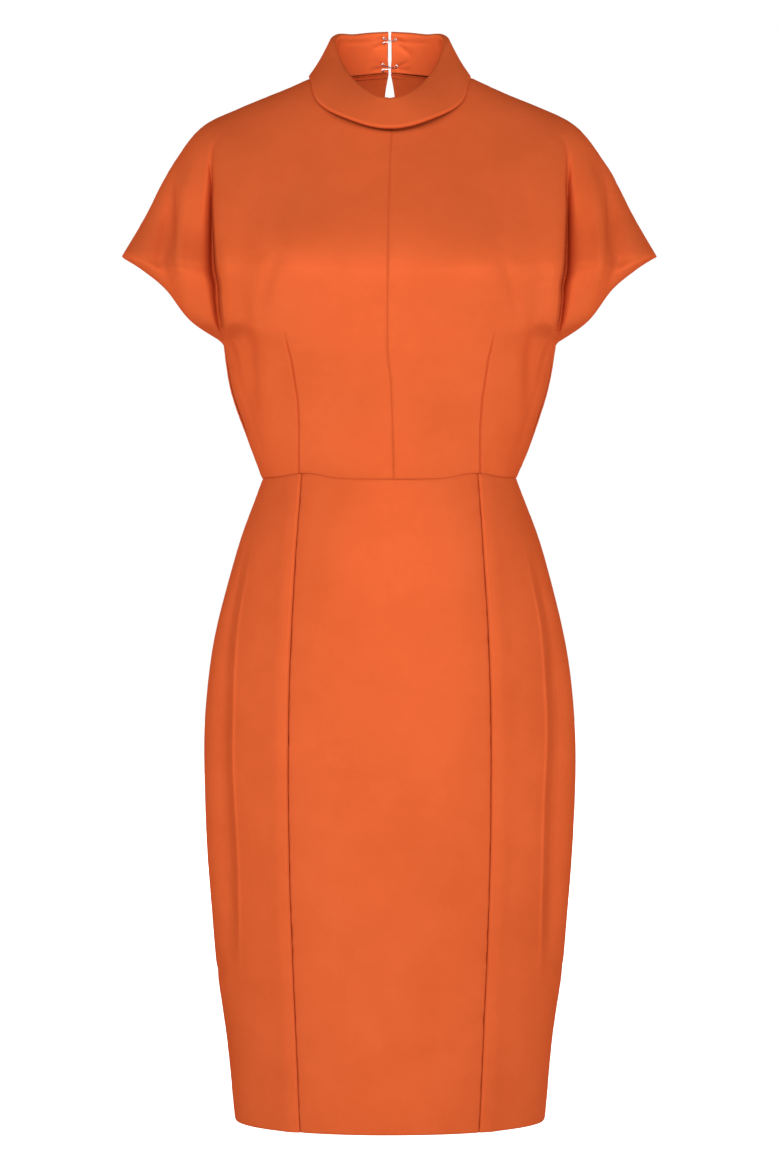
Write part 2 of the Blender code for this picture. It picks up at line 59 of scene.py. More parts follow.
TIP_ROW, UNDERARM_ROW, WAIST_ROW, HEM_ROW = 6, 10, 13, 21
SECTION_COLUMNS = (
    "z_front", "front", "z_back", "back", "reach", "z_side", "y_side", "square", "rise",
)
SECTIONS = (
    (-0.0480, 0.064, 0.0170, 0.070, 0.0690, 0.0065, 0.000, 2.0, 1.4),  # neck seam
    (-0.0660, 0.071, -0.0060, 0.081, 0.1000, -0.0078, 0.002, 2.0, 1.8),
    (-0.0910, 0.083, -0.0400, 0.094, 0.1500, -0.0280, 0.004, 2.1, 2.3),
    (-0.1200, 0.096, -0.0780, 0.104, 0.1900, -0.0490, 0.005, 2.2, 2.5),  # shoulder point
    (-0.1500, 0.1086, -0.1150, 0.109, 0.2195, -0.0880, 0.005, 2.2, 2.5),
    (-0.1780, 0.1178, -0.1480, 0.111, 0.2420, -0.1320, 0.004, 2.2, 2.3),
    (-0.2030, 0.1222, -0.1780, 0.111, 0.2670, -0.1770, 0.003, 2.2, 2.1),  # tip of the sleeve
    (-0.2240, 0.1215, -0.2040, 0.110, 0.2440, -0.1937, 0.002, 2.2, 2.0),
    (-0.2430, 0.1198, -0.2280, 0.108, 0.2200, -0.2137, 0.001, 2.2, 2.0),
    (-0.2580, 0.1178, -0.2490, 0.105, 0.1960, -0.2440, 0.001, 2.4, 2.0),
    (-0.2740, 0.1154, -0.2700, 0.101, 0.1665, -0.2640, 0.001, 3.1, 2.0),  # underarm
    (-0.3160, 0.1080, -0.3140, 0.093, 0.1580, -0.3130, 0.000, 2.8, 2.0),
    (-0.3600, 0.1003, -0.3590, 0.086, 0.1430, -0.3580, 0.000, 2.5, 2.0),
    (-0.4020, 0.0978, -0.4000, 0.082, 0.1270, -0.3985, 0.000, 2.3, 2.0),  # waist seam
    (-0.4680, 0.1040, -0.4680, 0.098, 0.1520, -0.4680, 0.002, 2.5, 2.0),
    (-0.5450, 0.1092, -0.5450, 0.117, 0.1725, -0.5450, 0.004, 2.6, 2.0),
    (-0.6250, 0.112, -0.6250, 0.126, 0.1840, -0.6250, 0.005, 2.6, 2.0),
    (-0.7100, 0.112, -0.7100, 0.125, 0.1857, -0.7100, 0.005, 2.5, 2.0),
    (-0.7950, 0.109, -0.7950, 0.118, 0.1810, -0.7950, 0.006, 2.4, 2.0),
    (-0.8800, 0.106, -0.8800, 0.111, 0.1740, -0.8800, 0.007, 2.3, 2.0),
    (-0.9650, 0.104, -0.9650, 0.106, 0.1625, -0.9650, 0.008, 2.2, 2.0),
    (-1.0395, 0.103, -1.0395, 0.103, 0.1556, -1.0395, 0.009, 2.1, 2.0),  # hem
)
END_SHARPNESS = 8  # how close to the outer end a section takes its sharp form

# The fold of each sleeve beside the body, one row for each section down to the waist: where the
# body's rolled edge lies, how strong the fold is in front and behind, how far the sleeve stands
# open, and the width that FOLD_FORM is stretched to.
FOLD_COLUMNS = ("edge_x", "front_fold", "back_fold", "mouth", "pitch")
FOLDS = (
    (0.0560, 0.00, 0.00, 0.000, 0.0200),
    (0.0880, 0.00, 0.00, 0.000, 0.0200),
    (0.1320, 0.00, 0.00, 0.000, 0.0200),
    (0.1700, 0.05, 0.00, 0.003, 0.0240),
    (0.1712, 0.68, 0.45, 0.011, 0.0380),
    (0.1702, 1.00, 0.85, 0.018, 0.0450),
    (0.1680, 1.00, 0.90, 0.025, 0.0500),
    (0.1650, 1.00, 0.85, 0.031, 0.0500),
    (0.1645, 1.00, 0.75, 0.036, 0.0480),
    (0.1625, 0.95, 0.55, 0.033, 0.0420),
    (0.1580, 0.30, 0.10, 0.000, 0.0400),
    (0.1480, 0.00, 0.00, 0.000, 0.0400),
    (0.1320, 0.00, 0.00, 0.000, 0.0400),
    (0.1170, 0.00, 0.00, 0.000, 0.0400),
)
# Share of the depth that is left, by the distance past that edge in widths.
FOLD_FORM = (
    (-0.12, 1.00),
    (0.00, 0.93),  # rolled edge of the body
    (0.045, 0.66),
    (0.11, 0.39),  # bottom of the valley
    (0.17, 0.52),
    (0.25, 0.60),
    (0.42, 0.65),
    (0.60, 0.70),  # first ridge of the sleeve
    (0.82, 0.77),
    (0.95, 0.69),
    (1.12, 0.52),  # trough
    (1.30, 0.62),
    (1.60, 0.82),  # second ridge
    (2.00, 1.00),
    (2.20, 1.00),
)
SLEEVE_CLOSING = 8  # how bluntly the front and back of the sleeve meet above its tip
SLEEVE_BACK_LIFT = 0.010
FULLNESS_COLUMNS = ("face", "x", "z", "lift", "spread")
FULLNESSES = (
    (FRONT, 0.090, -0.190, 0.0095, 0.042),  # bust
    (BACK, 0.085, -0.150, 0.0050, 0.050),  # shoulder blades
    (BACK, 0.080, -0.650, 0.0080, 0.070),  # seat
)
WAIST_WAVE, WAIST_WAVE_X, WAIST_WAVE_SPREAD = 0.0050, 0.082, 0.022  # rise of the waist seam
SLIT_HALF_WIDTHS = (0.0010, 0.0050, 0.0068, 0.0050, 0.0001)
SLIT_END_ROW = len(SLIT_HALF_WIDTHS) - 1
SKIRT_SEAM_X = (0.0874, 0.0920, 0.0962, 0.0989, 0.0994, 0.0979, 0.0953, 0.0917, 0.0881)

# The collar from the centre front to the centre back: the top of its fold, the row of the
# bodice where its free edge lies, and how far its fall bulges.
COLLAR_COLUMNS = ("fold_x", "fold_y", "fold_z", "edge_row", "bulge")
COLLAR_STATIONS = (
    (0.0000, -0.0610, -0.0305, 0.58, 0.0002),
    (0.0150, -0.0570, -0.0265, 0.74, 0.0004),
    (0.0345, -0.0380, -0.0110, 0.84, 0.0014),
    (0.0500, -0.0120, 0.0125, 0.44, 0.0018),
    (0.0570, 0.0120, 0.0360, 0.33, 0.0000),
    (0.0525, 0.0330, 0.0470, 0.27, 0.0000),
    (0.0375, 0.0510, 0.0497, 0.20, 0.0015),
    (0.0200, 0.0615, 0.0530, 0.17, 0.0025),
    (0.0000, 0.0655, 0.0545, 0.15, 0.0030),
)
STATIONS_PER_TURN = 4  # a turn of 1 is a quarter of the way round
COLLAR_INSET = 0.0015  # of its seam inside the neck edge
COLLAR_ROLL, COLLAR_MOST_TILT = 0.0030, 1.2  # radius of its fold, and steepest slope after it
COLLAR_REST, COLLAR_FRONT_REST = 0.0004, 0.0066  # free edge off the bodice: all round, in front
COLLAR_CURL, COLLAR_CURL_TURN = 0.0014, 2.3  # radius of that edge, how far it turns under
STAND_LINES, ROLL_LINES, FALL_LINES, CURL_LINES = 30, 15, 24, 8
INNER_ROLL_LINES = 3  # lines of the fold that still show the inside of the cloth
COLLAR_TURNS, COLLAR_TURNS_END, COLLAR_LAST_TURNS = 120, 1.985, (1.992, 2.0)
# Half-widths of the gap between the collar's ends, by share of the way up, over and down it:
# pinched at both hooks, open between them.
COLLAR_GAP = (
    (0.0, 0.0012), (0.08, 0.0014), (0.20, 0.0024), (0.30, 0.0021), (0.36, 0.0015), (1.0, 0.0020),
)
COLLAR_GAP_REACH = 0.35  # in turns, of the cloth that is drawn aside by it

# The cloth under the collar lies back: how far, how many rows past the free edge, and where this
# fades out, in rows and in turns.
PRESSED, PRESSED_PAST = 0.0030, 0.16
PRESSED_FADE, PRESSED_FROM, PRESSED_TURN = 0.22, 0.3, 1.3

# Line of the front waist darts from the point to the waist seam, as (x, z).
DART = (
    (0.1036, -0.2564), (0.0959, -0.2875), (0.0901, -0.3262), (0.0889, -0.3503), (0.0893, -0.3969),
)

# ---------------------------------------- creases

# Soft troughs, one row each: face of the dress, side of the wearer, both ends of the line as the
# distance from the centre line and z, how far the line bows outwards, half-width and depth.
CREASE_COLUMNS = ("face", "side", "x_top", "z_top", "x_end", "z_end", "bow", "width", "depth")
CREASES = (
    # sleeves: the trough between their two ridges, and a short one at the shoulder
    (FRONT, LEFT, 0.2200, -0.080, 0.2140, -0.205, 0.002, 0.0060, 0.0034),
    (FRONT, RIGHT, 0.2195, -0.082, 0.2135, -0.210, 0.002, 0.0062, 0.0036),
    (FRONT, LEFT, 0.198, -0.066, 0.206, -0.110, 0.001, 0.0060, 0.0012),
    (FRONT, RIGHT, 0.195, -0.064, 0.204, -0.115, 0.002, 0.0060, 0.0014),
    (BACK, LEFT, 0.218, -0.090, 0.216, -0.195, 0.002, 0.0085, 0.0050),
    (BACK, RIGHT, 0.219, -0.088, 0.214, -0.190, 0.002, 0.0080, 0.0052),
    # outer chest, from the shoulder down to the bust
    (FRONT, LEFT, 0.093, -0.070, 0.098, -0.195, 0.004, 0.0130, 0.0014),
    (FRONT, RIGHT, 0.095, -0.075, 0.101, -0.190, 0.004, 0.0130, 0.0018),
    (FRONT, LEFT, 0.126, -0.080, 0.130, -0.185, 0.003, 0.0100, 0.0012),
    (FRONT, RIGHT, 0.125, -0.085, 0.132, -0.180, 0.003, 0.0100, 0.0014),
    # beside the bust, slanting down and out below it
    (FRONT, LEFT, 0.105, -0.180, 0.128, -0.262, 0.003, 0.0060, 0.0022),
    (FRONT, RIGHT, 0.105, -0.178, 0.129, -0.260, 0.003, 0.0060, 0.0024),
    (FRONT, LEFT, 0.147, -0.170, 0.141, -0.390, 0.002, 0.0120, 0.0072),
    (FRONT, RIGHT, 0.146, -0.165, 0.140, -0.395, 0.002, 0.0125, 0.0074),
    # back: under the shoulder blades, and small ones where it is drawn in at the waist
    (BACK, LEFT, 0.135, -0.120, 0.118, -0.235, 0.004, 0.0100, 0.0030),
    (BACK, RIGHT, 0.131, -0.115, 0.121, -0.240, 0.004, 0.0105, 0.0032),
    (BACK, LEFT, 0.045, -0.330, 0.118, -0.352, 0.003, 0.0060, 0.0016),
    (BACK, RIGHT, 0.040, -0.338, 0.112, -0.356, 0.003, 0.0060, 0.0018),
    (BACK, LEFT, 0.060, -0.366, 0.110, -0.376, 0.002, 0.0050, 0.0012),
    (BACK, RIGHT, 0.048, -0.362, 0.105, -0.378, 0.002, 0.0050, 0.0014),
    # skirt: short folds in the side seams above the hem, and slack under the seat
    (FRONT, LEFT, 0.158, -0.870, 0.174, -0.892, 0.001, 0.0040, 0.0018),
    (FRONT, RIGHT, 0.159, -0.876, 0.174, -0.897, 0.001, 0.0040, 0.0018),
    (BACK, LEFT, 0.158, -0.868, 0.174, -0.894, 0.001, 0.0040, 0.0018),
    (BACK, RIGHT, 0.159, -0.874, 0.174, -0.898, 0.001, 0.0040, 0.0018),
    (BACK, LEFT, 0.030, -0.748, 0.120, -0.735, 0.006, 0.0120, 0.0026),
    (BACK, RIGHT, 0.028, -0.752, 0.116, -0.742, 0.006, 0.0120, 0.0028),
)

# The fold down each side of the skirt's front, where the cloth turns from the front to the side:
# points of its light edge as (distance from the centre line, z).
SKIRT_FOLDS = {
    LEFT: (
        (0.1300, -0.448), (0.1414, -0.506), (0.1491, -0.548), (0.1529, -0.599), (0.1543, -0.640),
        (0.1520, -0.716), (0.1506, -0.789), (0.1491, -0.857), (0.1456, -0.905),
    ),
    RIGHT: (
        (0.1305, -0.445), (0.1421, -0.499), (0.1486, -0.537), (0.1531, -0.599), (0.1541, -0.662),
        (0.1524, -0.716), (0.1491, -0.789), (0.1485, -0.857), (0.1446, -0.900),
    ),
}
FOLD_EDGE, FOLD_EDGE_WIDTH = 0.0017, 0.0018  # height and half-width of that edge
FOLD_SLOPE, FOLD_FLAT = 0.0030, 0.040  # how far the cloth inside it slopes back, in what width
FOLD_DROP, FOLD_DROP_WIDTH = 0.0110, 0.0080  # the drop on the outer side
FOLD_FADES = (0.10, 0.09)  # length in which it fades at the top and at the lower end
FOLD_RETURN, FOLD_LEAST_ROOM = 1.6, 0.004  # how soon the cloth is back at the side seam

HOOK_HEIGHTS, HOOK_DENT, HOOK_DENT_REACH = (0.0215, 0.0480), 0.0009, 0.0075  # pulls on the stand

# Creases inside the stand, from a hook or along the fold: ends as x, z, then half-width and depth.
STAND_CREASES = (
    (0.0070, 0.0225, 0.0200, 0.0285, 0.0017, 0.0016),
    (0.0075, 0.0205, 0.0240, 0.0190, 0.0022, 0.0010),
    (-0.0060, 0.0215, -0.0200, 0.0195, 0.0020, 0.0012),
    (-0.0055, 0.0230, -0.0150, 0.0300, 0.0018, 0.0010),
    (-0.0035, 0.0490, -0.0130, 0.0525, 0.0015, 0.0013),
    (-0.0040, 0.0470, -0.0200, 0.0400, 0.0022, 0.0012),
    (0.0050, 0.0500, 0.0180, 0.0465, 0.0016, 0.0016),
    (0.0060, 0.0470, 0.0240, 0.0330, 0.0026, 0.0014),
    (-0.0500, 0.0430, -0.0080, 0.0490, 0.0022, 0.0010),
    (0.0120, 0.0480, 0.0480, 0.0430, 0.0024, 0.0010),
)

# The centre front seam hangs a little off the middle: how far down, and how far to the wearer's
# left.
CENTRE_KNOTS = (0.058, 0.095, 0.140, 0.275, 0.310, 0.400)
CENTRE_OFFSETS = (0.0018, 0.0002, -0.0012, -0.0023, 0.0012, 0.0040)

# ---------------------------------------- curves


def widened(mask, like):
    """The mask with axes of length 1 added, so that it spreads over the last ones of like."""
    return mask.reshape(mask.shape + (1,) * (like.ndim - mask.ndim))


def smooth(values, position, corners=()):
    """Curve through values at whole positions, with a corner at each position in corners."""
    values, position = np.asarray(values, float), np.asarray(position, float)
    last = len(values) - 1
    first = np.clip(position.astype(int), 0, last - 1)
    start, end = values[first], values[first + 1]
    share = widened(position - first, start)
    starts_open = widened((first == 0) | np.isin(first, corners), start)
    ends_open = widened((first + 1 == last) | np.isin(first + 1, corners), start)
    before = np.where(starts_open, 2 * start - end, values[np.maximum(first - 1, 0)])
    after = np.where(ends_open, 2 * end - start, values[np.minimum(first + 2, last)])
    slope, bend = end - before, 2 * before - 5 * start + 4 * end - after
    turn = 3 * (start - end) + after - before
    return start + 0.5 * share * (slope + share * (bend + share * turn))


def through(knots, values, at):
    """Curve through values at uneven knots that never overshoots them."""
    knots, values = np.asarray(knots, float), np.asarray(values, float)
    steps = np.diff(knots)
    slopes = np.diff(values) / steps
    product = slopes[:-1] * slopes[1:]
    total = np.where(product > 0, slopes[:-1] + slopes[1:], 1.0)
    inner = np.where(product > 0, 2 * product / total, 0.0)
    tangents = np.concatenate(([slopes[0]], inner, [slopes[-1]]))
    first = np.clip(np.searchsorted(knots, at, side="right") - 1, 0, len(steps) - 1)
    step = steps[first]
    t = np.clip((at - knots[first]) / step, 0.0, 1.0)
    a, b = values[first], values[first + 1]
    ta, tb = tangents[first] * step, tangents[first + 1] * step
    return a + t * (ta + t * (3 * (b - a) - 2 * ta - tb + t * (2 * (a - b) + ta + tb)))


def ramp(value):
    return np.clip(value, 0, 1)


def eased(share):
    """A soft step: 0 to 1 as share goes from 0 to 1, level at both ends."""
    share = ramp(share)
    return share * share * (3 - 2 * share)


def hump(away, width):
    """1 on a line, and next to nothing from two widths away from it."""
    return np.exp(-((away / width) ** 2))


def table_row(table, columns, position, corners=()):
    found = smooth(table, position, corners)
    return {name: found[..., index] for index, name in enumerate(columns)}


# ---------------------------------------- form of the panels


def section(row):
    """The section at each row.

    Its outer end, as sharp_reach and sharp_z_side, turns sharply at the tip of the sleeve and at
    the underarm. The rest of it doesn't.
    """
    found = table_row(SECTIONS, SECTION_COLUMNS, row, (WAIST_ROW,))
    ends = table_row(SECTIONS, SECTION_COLUMNS, row, (TIP_ROW, UNDERARM_ROW, WAIST_ROW))
    return found | {"sharp_" + name: ends[name] for name in ("reach", "z_side")}


def towards_end(cut, name, across):
    """A column of the section, which becomes its sharp form close to the outer end."""
    return cut[name] + (cut["sharp_" + name] - cut[name]) * across**END_SHARPNESS


def shared_turn(cut, line_x, share):
    """The turn round a section: share 0 is the centre, 1 a line at line_x and 2 the side."""
    line = np.arcsin(np.clip(line_x / cut["reach"], 0, 1) ** (cut["square"] / 2))
    return np.where(share <= 1, line * share, line + (QUARTER - line) * (share - 1))


def fullness(face, x, z):
    lift = np.zeros_like(x)
    for values in FULLNESSES:
        bump = dict(zip(FULLNESS_COLUMNS, values))
        if bump["face"] != face:
            continue
        for centre in (bump["x"], -bump["x"]):
            away = ((x - centre) ** 2 + (z - bump["z"]) ** 2) / (2 * bump["spread"] ** 2)
            lift = lift + bump["lift"] * np.exp(-away)
    return lift


def oval_point(face, row, turn, depth_left=1.0, mouth=0.0, lift_end=0.0):
    """Points on the wearer's left half of a section, as an array with x, y and z last."""
    row, turn = np.broadcast_arrays(np.asarray(row, float), np.asarray(turn, float))
    cut = section(row)
    face_name = "front" if face == FRONT else "back"
    closed = ramp(TIP_ROW + 1 - row) ** 2
    power = 2 / cut["square"]
    sine, cosine = ramp(np.sin(turn)), ramp(np.cos(turn))
    across, along = sine**power, cosine**power
    x = towards_end(cut, "reach", across) * across
    y_end = cut["y_side"] + face * mouth * (1 - closed * across**SLEEVE_CLOSING)
    z_end = towards_end(cut, "z_side", across) + lift_end * (1 - closed)
    z_centre = cut["z_" + face_name]
    z = z_centre + (z_end - z_centre) * sine ** cut["rise"]
    y = y_end + (face * cut[face_name] - y_end) * along * depth_left
    y = y + face * fullness(face, x, z) * np.minimum(1.0, 2 * along)
    if face == FRONT:
        wave = WAIST_WAVE * hump(x - WAIST_WAVE_X, WAIST_WAVE_SPREAD)
        z = z + wave * np.maximum(0.0, 1 - abs(row - WAIST_ROW))
    return np.stack((x, y, z), axis=-1)


def bodice_point(face, row, share):
    row, share = np.broadcast_arrays(np.asarray(row, float), np.asarray(share, float))
    cut, fold = section(row), table_row(FOLDS, FOLD_COLUMNS, row)
    strength = np.maximum(0.0, fold["front_fold"] if face == FRONT else fold["back_fold"])
    mouth = np.maximum(0.0, fold["mouth"])
    widest = max(line[FOLD_COLUMNS.index("mouth")] for line in FOLDS)
    lift_end = SLEEVE_BACK_LIFT * mouth / widest if face == BACK else 0.0
    places, depths = zip(*FOLD_FORM)
    turn = shared_turn(cut, fold["edge_x"], share)
    across = ramp(np.sin(turn)) ** (2 / cut["square"])
    past_edge = towards_end(cut, "reach", across) * across - fold["edge_x"]
    depth_left = 1 + strength * (through(places, depths, past_edge / fold["pitch"]) - 1)
    points = oval_point(face, row, turn, depth_left, mouth, lift_end)
    if face == BACK:
        half = smooth(SLIT_HALF_WIDTHS, np.clip(row, 0, SLIT_END_ROW))
        half = np.where(row < SLIT_END_ROW, half, SLIT_HALF_WIDTHS[-1])
        points[..., 0] += half * ramp(1 - share) ** 4
    return points


def skirt_point(face, row, share):
    row, share = np.broadcast_arrays(np.asarray(row, float), np.asarray(share, float))
    seam_x = smooth(SKIRT_SEAM_X, row - WAIST_ROW)
    return oval_point(face, row, shared_turn(section(row), seam_x, share))


# ---------------------------------------- grids

# Distances of the lines that lie close to a seam, a dart or a fold.
EDGE_STEPS = np.array((0.0, 0.0004, 0.0008, 0.0013, 0.0020, 0.0032, 0.0050))
SPACING = 0.0034  # between the other lines of a panel
DENSE = 1201  # points that a row's length is measured with
BODICE_LENGTH, SKIRT_LENGTH = 0.47, 0.645  # about, from top to bottom
SKIRT_COARSER = 1.3  # how much farther the skirt's rows lie apart
DART_INSIDE, FOLD_INSIDE = 0.8, 0.92  # greatest share of the width where extra lines lie
LEVEL_REACH = 0.003  # how close to the waist seam the ways out are level


def spread(start, end, count):
    """Positions from each start to its end, close to each other at both ends."""
    room = (end - start)[:, None]
    scale = np.minimum(1.0, room / (3 * EDGE_STEPS[-1]))
    near = EDGE_STEPS[None, :] * scale
    low, high = near[:, -1:], room - near[:, -1:]
    middle = low + (high - low) * np.linspace(0, 1, count + 2)[None, 1:-1]
    return start[:, None] + np.concatenate((near, middle, room - near[:, ::-1]), axis=1)


def row_positions(first, last, length, coarse=1.0):
    """Rows from first to last of a panel about length long, close to each other at its ends."""
    count = int(length / (SPACING * coarse))
    lengths = spread(np.array([0.0]), np.array([length]), count)[0]
    return first + (last - first) * lengths / length


def lengths_along(points, axis):
    steps = np.linalg.norm(np.diff(points, axis=axis), axis=-1)
    zero = np.zeros_like(np.take(steps, [0], axis=axis))
    return np.cumsum(np.concatenate((zero, steps), axis=axis), axis=axis)


def panel_grid(point_at, rows, shares, line_x=None):
    """Points of a panel, and how far along its row each lies.

    The lines lie close together at the panel's edges and at the distances line_x from its centre.
    """
    dense = np.linspace(shares[0], shares[1], DENSE)
    fine = point_at(rows[:, None], dense[None, :])
    lengths = lengths_along(fine, 1)
    anchors = [np.zeros(len(rows)), lengths[:, -1]]
    if line_x is not None:
        found = zip(line_x, fine[..., 0], lengths)
        anchors.insert(1, np.array([np.interp(x, xs, along) for x, xs, along in found]))
    parts = []
    for start, end in zip(anchors, anchors[1:]):
        count = max(2, int(np.max(end - start) / SPACING))
        part = spread(start, end, count)
        parts.append(part if not parts else part[:, 1:])
    positions = np.concatenate(parts, axis=1)
    share = np.array([np.interp(at, along, dense) for at, along in zip(positions, lengths)])
    return point_at(rows[:, None], share), positions


def normals_of(points, face):
    across = np.gradient(points, axis=1)
    down = np.gradient(points, axis=0)
    out = face * np.cross(across, down)
    return out / np.maximum(np.linalg.norm(out, axis=-1, keepdims=True), 1e-12)


def level_at_seam(normals, away):
    """The ways out, made level at the waist seam so that the edges sewn together there meet."""
    one = np.ones_like(away)
    level = normals * np.stack([one, one, 1 - hump(away, LEVEL_REACH)], axis=-1)
    return level / np.linalg.norm(level, axis=-1, keepdims=True)


def mirrored(points):
    return points * np.array((-1.0, 1.0, 1.0))


# ---------------------------------------- relief of the cloth

SEAM_DIP, SEAM_WIDTH = 0.0007, 0.0011
WAIST_SEAM, SKIRT_SEAM = 0.5, 1.6  # strength of their relief, where that of the others is 1
PUCKER, PUCKER_REACH, PUCKER_START = 0.00022, 0.007, 0.001
RIPPLES = ((0.0093, 1.0), (0.0147, 0.8), (0.0061, 0.5), (0.031, 0.6))  # length and weight
RIPPLE_HEIGHT = 2.4  # that the weighted sum seldom passes
EDGE_TURN, EDGE_TURN_WIDTH = 0.0006, 0.0010  # rounding of an open edge
ALLOWANCE_STEP, ALLOWANCE_BLUR = 0.00035, 0.0012  # where the cloth turned in behind it ends
SLIT_ALLOWANCE, SLEEVE_ALLOWANCE, HEM_ALLOWANCE = 0.012, 0.020, 0.034
ROW_SHARPNESS, HEM_MARGIN = 8, 0.8  # how soon, down the rows, a seam becomes an open edge
CREASE_FADE = 0.45  # share of a crease's length in which it fades in or out
UNEVENNESS = 0.00022
UNEVEN_WAVES = ((41, 23, 0.6), (67, -31, 2.1), (19, 58, 4.0))  # over x, over z, and a start
BACK_SHIFT = 0.4  # of those waves between front and back
BODICE_UNEVENNESS = 2.0  # as strong on the bodice as on the skirt
STAND_BEFORE, STAND_FADE_IN = 0.15, 0.3  # share of a stand crease before its start, and its fade
STAND_PAST, STAND_FADE_OUT = 0.1, 0.6  # and past its end
CENTRE_WANDER_WIDTH = 0.030  # how far the cloth beside the centre front seam follows it

DART_DIP, DART_WIDTH = 0.0021, 0.0009
DART_TURN, DART_TURN_REACH = 0.17, 0.024  # how far the cloth on a dart's outer side slopes back
DART_POINT = 0.020  # length in which it sets in below its point
DART_TURN_SIDE, DART_TURN_WAIST = 0.045, 0.030  # where that slope fades: to the side, to the waist
DART_PAST_WAIST = 0.02

PANEL_SINK, PANEL_SINK_REACH = 0.0012, 0.0055  # of the skirt's centre panel towards its seams
SINK_LEAST, SINK_MORE, SINK_STRETCH = 0.7, 0.5, 4 / 9  # how unevenly it sinks
STRIP_LIFT, STRIP_MIDDLE, STRIP_HALF_WIDTH = 0.0014, 0.011, 0.009  # over their allowances
ALLOWANCE = 0.0035  # of a skirt seam, turned in
CENTRE_LAP = 0.00005  # of the two halves of the bodice
SEAM_SLOT = 0.0006  # between the skirt's centre panel and its side panels
BACK_FOLD_SHARE = 0.6  # how strongly the folds in the skirt's sides show on its back
PUCKER_PLACES = (-0.560, -0.655, -0.842, -0.866, -0.930)  # heights of the pulls at those seams
PULL_DEPTH, PULL_HEIGHT, PULL_REACH, PULL_SHIFT = 0.0008, 0.0050, 0.014, 0.004


def ripple(along, seed):
    """An uneven ripple from about -1 to 1 along a seam."""
    total = 0.0
    for index, (length, weight) in enumerate(RIPPLES):
        total = total + weight * np.sin(2 * math.pi * along / length + seed * (index + 1.7))
    return total / RIPPLE_HEIGHT


def seam_relief(away, along, seed, strength=1.0):
    """Dip of the cloth into a seam, with the small puckers beside it."""
    beside = np.exp(-away / PUCKER_REACH) * (1 - np.exp(-away / PUCKER_START))
    pucker = PUCKER * ripple(along, seed) * beside
    return strength * (pucker - SEAM_DIP * hump(away, SEAM_WIDTH))


def open_edge_relief(away, allowance):
    """The turned edge of the cloth, and the faint line where its allowance ends inside."""
    single = 1 - 1 / (1 + np.exp((away - allowance) / ALLOWANCE_BLUR))
    return -EDGE_TURN * hump(away, EDGE_TURN_WIDTH) - ALLOWANCE_STEP * single


def crease_relief(face, x, z):
    total = np.zeros_like(x)
    for values in CREASES:
        crease = dict(zip(CREASE_COLUMNS, values))
        if crease["face"] != face:
            continue
        start = np.array((crease["x_top"] * crease["side"], crease["z_top"]))
        run = np.array((crease["x_end"] * crease["side"], crease["z_end"])) - start
        length = np.linalg.norm(run)
        direction = run / length
        away = np.stack((x - start[0], z - start[1]), axis=-1)
        along = (away @ direction) / length
        side = away @ np.array((-direction[1], direction[0]))
        outwards = math.copysign(1.0, -direction[1] * crease["side"])
        side = side - outwards * crease["bow"] * 4 * along * (1 - along)
        fade = eased(ramp(along / CREASE_FADE) * ramp((1 - along) / CREASE_FADE))
        total -= crease["depth"] * fade * hump(side, crease["width"])
    return total


def fold_line(side, z):
    xs, zs = np.array(SKIRT_FOLDS[side]).T
    return through(-zs, xs, np.clip(-z, -zs[0], -zs[-1]))


def skirt_fold_push(side, x, z, reach):
    """How far back the skirt lies at the fold in it: a soft slope, the crisp edge, then a drop."""
    line = fold_line(side, z)
    (_, top), (_, end) = SKIRT_FOLDS[side][0], SKIRT_FOLDS[side][-1]
    shown = ramp((top - z) / FOLD_FADES[0]) * ramp((z - end) / FOLD_FADES[1])
    slope = FOLD_SLOPE * ramp((x - line + FOLD_FLAT) / FOLD_FLAT)
    edge = -FOLD_EDGE * hump(x - line, FOLD_EDGE_WIDTH)
    drop = FOLD_DROP * eased((x - line) / FOLD_DROP_WIDTH)
    left = ramp((reach - x) / np.maximum(reach - line, FOLD_LEAST_ROOM))
    left = np.where(x > line + FOLD_DROP_WIDTH, np.minimum(1.0, FOLD_RETURN * left), 1.0)
    return (slope + edge + drop) * eased(shown) * left


def unevenness(x, z):
    """Broad, very low waves that no cloth on a figure is free of."""
    return UNEVENNESS * sum(np.sin(a * x + b * z + start) for a, b, start in UNEVEN_WAVES)


def dart_x(z):
    xs, zs = zip(*DART)
    return np.interp(-z, [-value for value in zs], xs)


def dart_relief(x, z, from_end):
    """Relief of a waist dart: its stitched line, and the cloth on its outer side turned back."""
    away = abs(x) - dart_x(z)
    below_point = ramp((DART[0][1] - z) / DART_POINT)
    above_waist = z > DART[-1][1] - DART_PAST_WAIST
    dip = -DART_DIP * hump(away, DART_WIDTH)
    pucker = PUCKER * ripple(-z, 2.0) * np.exp(-abs(away) / PUCKER_REACH)
    turned_back = -DART_TURN * DART_TURN_REACH * np.tanh(np.maximum(away, 0.0) / DART_TURN_REACH)
    left = ramp(from_end / DART_TURN_SIDE) ** 2 * ramp((z - DART[-1][1]) / DART_TURN_WAIST)
    return (dip + pucker + turned_back * below_point * left) * below_point * above_waist


# ---------------------------------------- pieces


